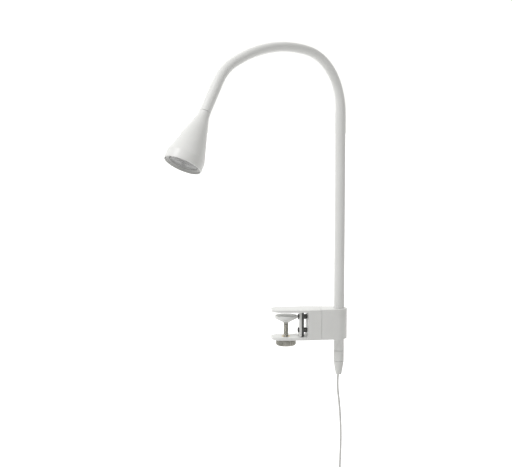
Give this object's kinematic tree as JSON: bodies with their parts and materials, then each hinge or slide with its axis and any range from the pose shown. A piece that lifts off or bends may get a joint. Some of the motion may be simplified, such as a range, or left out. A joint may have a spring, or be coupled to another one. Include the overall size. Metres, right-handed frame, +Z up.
{
  "type": "clamp reading lamp",
  "caption": "Reading lamp with a screw clamp, a flexible white neck, a small conical spot head and a low-voltage cord with a switch and plug-in driver.",
  "frame": {"origin": "underside of the upper jaw, on the clamp screw's axis: the face that rests on top of the board", "axes": "+Z up along the clamp screw and the post, +X from the clamp screw to the post (the jaws open towards -X), +Y to the back"},
  "size_m": [0.261, 0.2168, 0.7682],
  "materials": {
    "white_metal": "satin powder coat",
    "white_sleeve": "smooth satin",
    "white_plastic": "fine matt",
    "nickel": "nickel plate",
    "dark_steel": "blackened",
    "dark_plastic": "matt",
    "grey_plastic": "satin",
    "brass": "turned",
    "aluminium": "turned",
    "board": "solder mask",
    "led": "phosphor",
    "clear_plastic": "frosted clear",
    "cord": "satin",
    "tie": "woven"
  },
  "bodies": {
    "clamp_base": {"clamp_frame": "white_metal", "thread_insert": "brass", "stop_plate": "white_metal", "stop_backing": "dark_plastic", "stop_screw_upper": "dark_steel", "stop_screw_lower": "dark_steel", "stop_spacer_upper": "dark_steel", "stop_spacer_lower": "dark_steel", "post_holder": "white_metal", "post_set_screw": "dark_steel", "lower_tube": "white_metal", "neck_stud": "nickel", "power_socket": "dark_plastic", "connector_barrel": "white_plastic", "strain_relief": "white_plastic", "neck_base": "white_sleeve", "lamp_cord": "cord", "switch_front_shell": "white_plastic", "switch_back_shell": "white_plastic", "supply_cord_upper": "cord", "cord_coil": "cord", "cord_tie": "tie", "supply_cord_lower": "cord", "driver_strain_relief": "white_plastic", "driver_front_shell": "white_plastic", "driver_back_shell": "white_plastic", "plug_pin_left": "nickel", "plug_pin_right": "nickel"},
    "pressure_pad": {"pressure_pad": "white_metal"},
    "clamp_screw": {"clamp_rod": "nickel", "clamp_knob": "nickel"},
    "switch_button": {"switch_button": "white_plastic"},
    "neck_link_01": {"neck_link_01": "white_sleeve"},
    "neck_link_02": {"neck_link_02": "white_sleeve"},
    "neck_link_03": {"neck_link_03": "white_sleeve"},
    "neck_link_04": {"neck_link_04": "white_sleeve"},
    "neck_link_05": {"neck_link_05": "white_sleeve"},
    "neck_link_06": {"neck_link_06": "white_sleeve"},
    "neck_link_07": {"neck_link_07": "white_sleeve"},
    "neck_link_08": {"neck_link_08": "white_sleeve"},
    "neck_link_09": {"neck_link_09": "white_sleeve"},
    "neck_link_10": {"neck_link_10": "white_sleeve"},
    "neck_link_11": {"neck_link_11": "white_sleeve"},
    "neck_link_12": {"neck_link_12": "white_sleeve"},
    "neck_link_13": {"neck_link_13": "white_sleeve"},
    "lamp_head": {"neck_link_14": "white_sleeve", "head_shade": "white_metal", "head_stud": "nickel", "head_nut": "nickel", "heat_sink": "aluminium", "led_board": "board", "led_chip": "led", "optic": "clear_plastic", "lens": "clear_plastic", "lens_ring": "grey_plastic", "board_screw_left": "dark_steel", "board_screw_right": "dark_steel"}
  },
  "joints": [
    {"name": "neck_base_bend", "type": "hinge", "parent": "clamp_base", "child": "neck_link_01", "pos_m": [0.0709, 0, 0.0331], "axis": [0.6428, -0.766, 0], "range_deg": [-15, 15]},
    {"name": "neck_base_side", "type": "hinge", "parent": "neck_link_01", "child": "neck_link_02", "pos_m": [0.0709, 0, 0.09085], "axis": [-0.766, -0.6428, 0], "range_deg": [-15, 15]},
    {"name": "neck_base_bend_2", "type": "hinge", "parent": "neck_link_02", "child": "neck_link_03", "pos_m": [0.0709, 0, 0.1486], "axis": [0.6428, -0.766, 0], "range_deg": [-15, 15]},
    {"name": "neck_base_side_2", "type": "hinge", "parent": "neck_link_03", "child": "neck_link_04", "pos_m": [0.0709, 0, 0.20635], "axis": [-0.766, -0.6428, 0], "range_deg": [-15, 15]},
    {"name": "neck_arc_bend", "type": "hinge", "parent": "neck_link_04", "child": "neck_link_05", "pos_m": [0.0709, 0, 0.2641], "axis": [0.6428, -0.766, 0], "range_deg": [-9, 4]},
    {"name": "neck_arc_bend_2", "type": "hinge", "parent": "neck_link_05", "child": "neck_link_06", "pos_m": [0.06749, -0.00286, 0.28984], "axis": [0.6428, -0.766, 0], "range_deg": [-9, 4]},
    {"name": "neck_arc_bend_3", "type": "hinge", "parent": "neck_link_06", "child": "neck_link_07", "pos_m": [0.05765, -0.01111, 0.31259], "axis": [0.6428, -0.766, 0], "range_deg": [-9, 4]},
    {"name": "neck_arc_bend_4", "type": "hinge", "parent": "neck_link_07", "child": "neck_link_08", "pos_m": [0.04254, -0.0238, 0.32971], "axis": [0.6428, -0.766, 0], "range_deg": [-9, 4]},
    {"name": "neck_arc_bend_5", "type": "hinge", "parent": "neck_link_08", "child": "neck_link_09", "pos_m": [0.0239, -0.03944, 0.3392], "axis": [0.6428, -0.766, 0], "range_deg": [-9, 4]},
    {"name": "neck_arc_bend_6", "type": "hinge", "parent": "neck_link_09", "child": "neck_link_10", "pos_m": [-0.01062, -0.0684, 0.34321], "axis": [0.6428, -0.766, 0], "range_deg": [-9, 4]},
    {"name": "neck_arc_bend_7", "type": "hinge", "parent": "neck_link_10", "child": "neck_link_11", "pos_m": [-0.04496, -0.09722, 0.33711], "axis": [0.6428, -0.766, 0], "range_deg": [-9, 4]},
    {"name": "neck_head_bend", "type": "hinge", "parent": "neck_link_11", "child": "neck_link_12", "pos_m": [-0.0774, -0.12444, 0.3212], "axis": [0.6428, -0.766, 0], "range_deg": [-15, 15]},
    {"name": "neck_head_bend_2", "type": "hinge", "parent": "neck_link_12", "child": "neck_link_13", "pos_m": [-0.08802, -0.13335, 0.31145], "axis": [0.6428, -0.766, 0], "range_deg": [-15, 15]},
    {"name": "neck_head_side", "type": "hinge", "parent": "neck_link_13", "child": "lamp_head", "pos_m": [-0.09612, -0.14015, 0.29822], "axis": [0.66, 0.5538, -0.5075], "range_deg": [-20, 20]},
    {"name": "clamp_screw_travel", "type": "slide", "parent": "clamp_base", "child": "pressure_pad", "axis": [0, 0, 1], "range_m": [-0.0185, 0]},
    {"name": "clamp_screw_turn", "type": "hinge", "parent": "pressure_pad", "child": "clamp_screw", "pos_m": [0, 0, -0.0147], "axis": [0, 0, 1], "range_deg": [-4441, 0]},
    {"name": "switch_press", "type": "slide", "parent": "clamp_base", "child": "switch_button", "axis": [0, 1, 0], "range_m": [0, 0.0012], "stiffness_N_per_m": 400}
  ],
  "couplings": [
    {"joint": "neck_base_bend_2", "follows": "neck_base_bend", "ratio": 1},
    {"joint": "neck_base_side_2", "follows": "neck_base_side", "ratio": 1},
    {"joint": "neck_arc_bend_2", "follows": "neck_arc_bend", "ratio": 1},
    {"joint": "neck_arc_bend_3", "follows": "neck_arc_bend", "ratio": 1},
    {"joint": "neck_arc_bend_4", "follows": "neck_arc_bend", "ratio": 1},
    {"joint": "neck_arc_bend_5", "follows": "neck_arc_bend", "ratio": 1},
    {"joint": "neck_arc_bend_6", "follows": "neck_arc_bend", "ratio": 1},
    {"joint": "neck_arc_bend_7", "follows": "neck_arc_bend", "ratio": 1},
    {"joint": "neck_head_bend_2", "follows": "neck_head_bend", "ratio": 1},
    {"joint": "clamp_screw_turn", "follows": "clamp_screw_travel", "rad_per_m": 4188.8}
  ]
}
